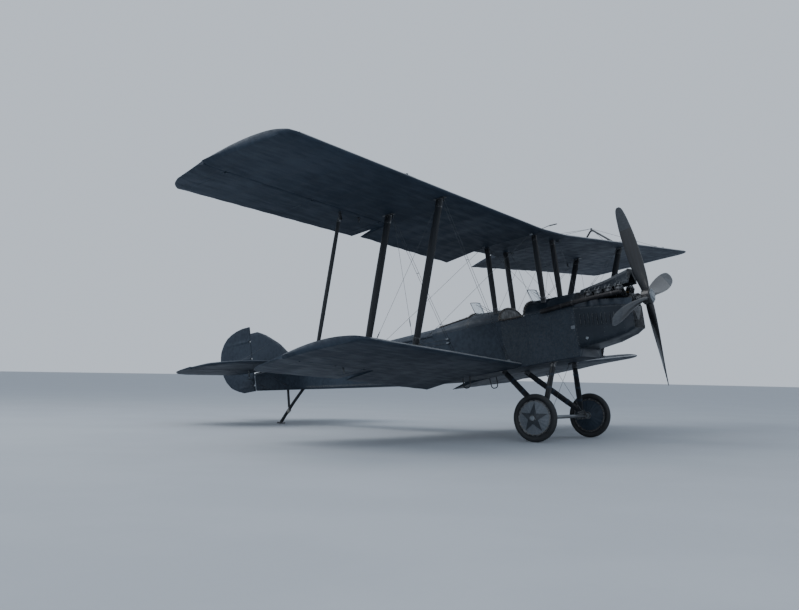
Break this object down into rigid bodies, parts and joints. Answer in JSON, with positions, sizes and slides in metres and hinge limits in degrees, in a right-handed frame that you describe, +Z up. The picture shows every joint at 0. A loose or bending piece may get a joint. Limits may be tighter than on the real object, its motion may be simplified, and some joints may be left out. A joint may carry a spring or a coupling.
{
  "type": "two-seat biplane with unequal wings",
  "caption": "Parked two-seat tractor biplane with a long upper wing, open engine, wheels with fabric covers, tail skid and working controls.",
  "frame": {"origin": "middle of the bounding box at floor level, under the parked aircraft", "axes": "+X to the aircraft's left along the span, -Y towards the propeller, +Z up"},
  "size_m": [11.7642, 8.2944, 3.4639],
  "materials": {
    "wing_fabric": "dark doped linen over ribs",
    "body_fabric": "dark doped linen, laced",
    "cowl_metal": "dark paint, satin",
    "engine_steel": "dark oiled iron and steel",
    "bare_metal": "dull sheet metal",
    "varnished_wood": "varnished ash and spruce",
    "propeller_wood": "varnished laminated wood with pale covered tips",
    "wire": "drawn steel wire",
    "seat_leather": "worn leather",
    "screen": "clear sheet",
    "tyre_rubber": "smooth rubber",
    "cover_fabric": "pale doped linen with a plain dark star"
  },
  "bodies": {
    "airframe": {"nose_cowl": "cowl_metal", "engine": "engine_steel", "air_scoop": "cowl_metal", "firewall": "bare_metal", "front_deck": "cowl_metal", "mid_deck": "body_fabric", "cockpit_floor": "varnished_wood", "rear_fuselage": "body_fabric", "front_seat": "seat_leather", "rear_seat": "seat_leather", "front_windscreen": "screen", "rear_windscreen": "screen", "centre_section": "wing_fabric", "axle": "engine_steel", "gear_stays": "wire", "tail_skid": "varnished_wood", "tailplane": "wing_fabric", "fin": "wing_fabric", "cockpit_side_left": "body_fabric", "cockpit_side_right": "body_fabric", "exhaust_left": "engine_steel", "exhaust_right": "engine_steel", "upper_wing_left": "wing_fabric", "upper_wing_right": "wing_fabric", "lower_wing_left": "wing_fabric", "lower_wing_right": "wing_fabric", "front_strut_left": "varnished_wood", "front_strut_right": "varnished_wood", "rear_strut_left": "varnished_wood", "rear_strut_right": "varnished_wood", "front_cabane_left": "varnished_wood", "front_cabane_right": "varnished_wood", "rear_cabane_left": "varnished_wood", "rear_cabane_right": "varnished_wood", "front_stays_left": "wire", "front_stays_right": "wire", "rear_stays_left": "wire", "rear_stays_right": "wire", "kingpost_left": "engine_steel", "kingpost_right": "engine_steel", "kingpost_stays_left": "wire", "kingpost_stays_right": "wire", "gear_vee_left": "varnished_wood", "gear_vee_right": "varnished_wood"},
    "propeller": {"propeller": "propeller_wood", "propeller_plate": "bare_metal"},
    "wheel_left": {"tyre_left": "tyre_rubber", "wheel_cover_left": "cover_fabric"},
    "wheel_right": {"tyre_right": "tyre_rubber", "wheel_cover_right": "cover_fabric"},
    "rudder": {"rudder": "wing_fabric"},
    "elevator_left": {"elevator_left": "wing_fabric"},
    "elevator_right": {"elevator_right": "wing_fabric"},
    "upper_aileron_left": {"upper_aileron_left": "wing_fabric"},
    "upper_aileron_right": {"upper_aileron_right": "wing_fabric"},
    "lower_aileron_left": {"lower_aileron_left": "wing_fabric"},
    "lower_aileron_right": {"lower_aileron_right": "wing_fabric"},
    "aileron_link_left": {"aileron_link_left": "varnished_wood"},
    "aileron_link_right": {"aileron_link_right": "varnished_wood"}
  },
  "joints": [
    {"name": "propeller_spin", "type": "hinge", "parent": "airframe", "child": "propeller", "pos_m": [0, -3.97449, 2.02651], "axis": [0, -0.9851, 0.1719], "continuous": true},
    {"name": "wheel_left_spin", "type": "hinge", "parent": "airframe", "child": "wheel_left", "pos_m": [0.88, -2.72253, 0.33], "axis": [1, 0, 0], "continuous": true},
    {"name": "wheel_right_spin", "type": "hinge", "parent": "airframe", "child": "wheel_right", "pos_m": [-0.88, -2.72253, 0.33], "axis": [1, 0, 0], "continuous": true},
    {"name": "rudder_swing", "type": "hinge", "parent": "airframe", "child": "rudder", "pos_m": [0, 3.37274, 1.08326], "axis": [0, 0.1719, 0.9851], "range_deg": [-25, 25]},
    {"name": "elevator_left_tilt", "type": "hinge", "parent": "airframe", "child": "elevator_left", "pos_m": [1, 2.94442, 0.92656], "axis": [-1, 0, 0], "range_deg": [-25, 25]},
    {"name": "elevator_right_tilt", "type": "hinge", "parent": "airframe", "child": "elevator_right", "pos_m": [-1, 2.94442, 0.92656], "axis": [-1, 0, 0], "range_deg": [-25, 25]},
    {"name": "upper_aileron_left_tilt", "type": "hinge", "parent": "airframe", "child": "upper_aileron_left", "pos_m": [3.50186, -1.31669, 2.96387], "axis": [-0.9979, -0.0111, -0.0636], "range_deg": [-20, 20]},
    {"name": "lower_aileron_left_tilt", "type": "hinge", "parent": "airframe", "child": "lower_aileron_left", "pos_m": [3.35186, -1.00596, 1.02182], "axis": [-0.9979, -0.0111, -0.0636], "range_deg": [-20, 20]},
    {"name": "upper_aileron_right_tilt", "type": "hinge", "parent": "airframe", "child": "upper_aileron_right", "pos_m": [-3.50186, -1.31669, 2.96387], "axis": [-0.9979, 0.0111, 0.0636], "range_deg": [-20, 20]},
    {"name": "lower_aileron_right_tilt", "type": "hinge", "parent": "airframe", "child": "lower_aileron_right", "pos_m": [-3.35186, -1.00596, 1.02182], "axis": [-0.9979, 0.0111, 0.0636], "range_deg": [-20, 20]},
    {"name": "aileron_link_left_pivot", "type": "hinge", "parent": "upper_aileron_left", "child": "aileron_link_left", "pos_m": [3.43587, -1.2712, 2.88835], "axis": [-0.9979, -0.0111, -0.0636], "range_deg": [-22, 22]},
    {"name": "aileron_link_right_pivot", "type": "hinge", "parent": "upper_aileron_right", "child": "aileron_link_right", "pos_m": [-3.43587, -1.2712, 2.88835], "axis": [-0.9979, 0.0111, 0.0636], "range_deg": [-22, 22]}
  ],
  "couplings": [
    {"joint": "elevator_right_tilt", "follows": "elevator_left_tilt", "ratio": 1},
    {"joint": "lower_aileron_left_tilt", "follows": "upper_aileron_left_tilt", "ratio": 1},
    {"joint": "upper_aileron_right_tilt", "follows": "upper_aileron_left_tilt", "ratio": -1},
    {"joint": "lower_aileron_right_tilt", "follows": "upper_aileron_left_tilt", "ratio": -1},
    {"joint": "aileron_link_left_pivot", "follows": "upper_aileron_left_tilt", "ratio": -1.064},
    {"joint": "aileron_link_right_pivot", "follows": "upper_aileron_left_tilt", "ratio": 1.064}
  ]
}
